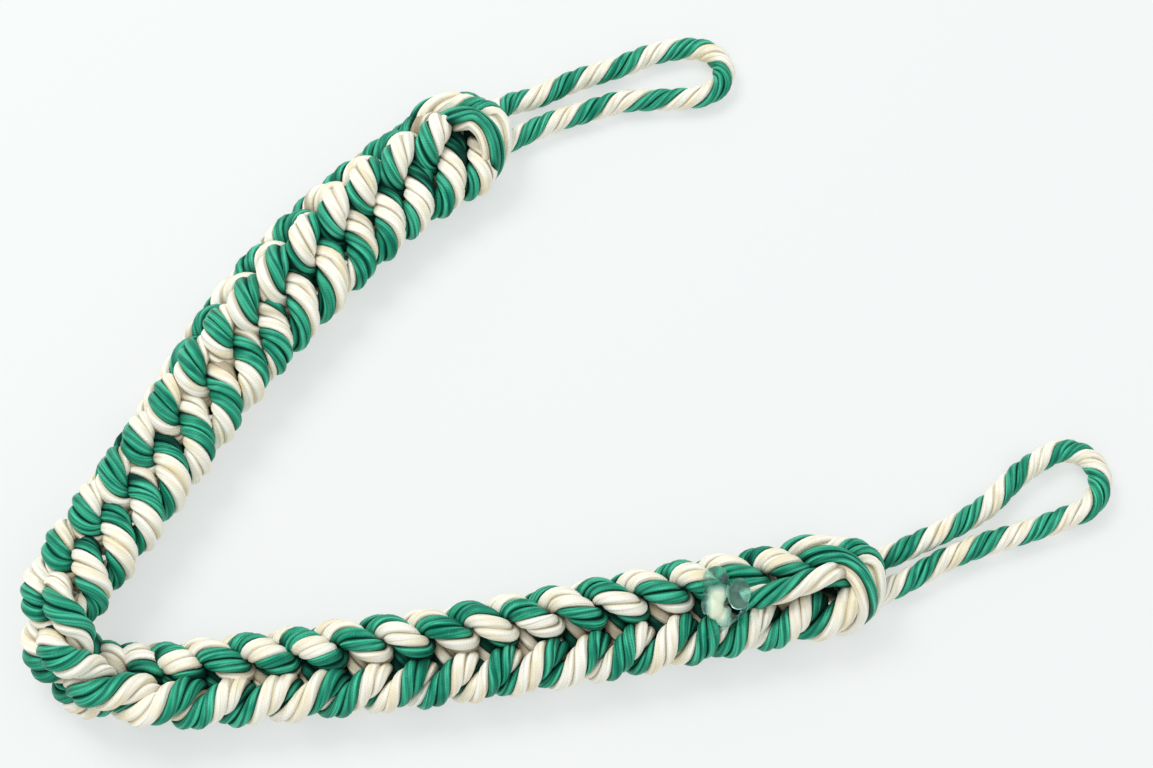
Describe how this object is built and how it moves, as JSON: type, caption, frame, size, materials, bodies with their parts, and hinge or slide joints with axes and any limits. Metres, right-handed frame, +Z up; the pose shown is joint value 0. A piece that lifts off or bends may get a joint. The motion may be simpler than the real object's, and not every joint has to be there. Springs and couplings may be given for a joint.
{
  "type": "uniform shoulder lanyard",
  "caption": "Uniform shoulder lanyard of twisted two-colour cord worked into a chain plait, with a single-cord button eye at each end.",
  "frame": {"origin": "on the table under the middle of the lanyard's bounding box", "axes": "+X to the right along the longest extent, from the bend towards the eyes; +Y away from the viewer; +Z up from the table"},
  "size_m": [0.2334, 0.166, 0.0193],
  "materials": {
    "green_rayon": "satin",
    "cream_rayon": "satin",
    "dried_glue": "gloss"
  },
  "bodies": {
    "root": {"plait": "green_rayon", "upper_eye": "cream_rayon", "lower_eye": "cream_rayon", "glue_drops": "dried_glue"}
  },
  "joints": []
}
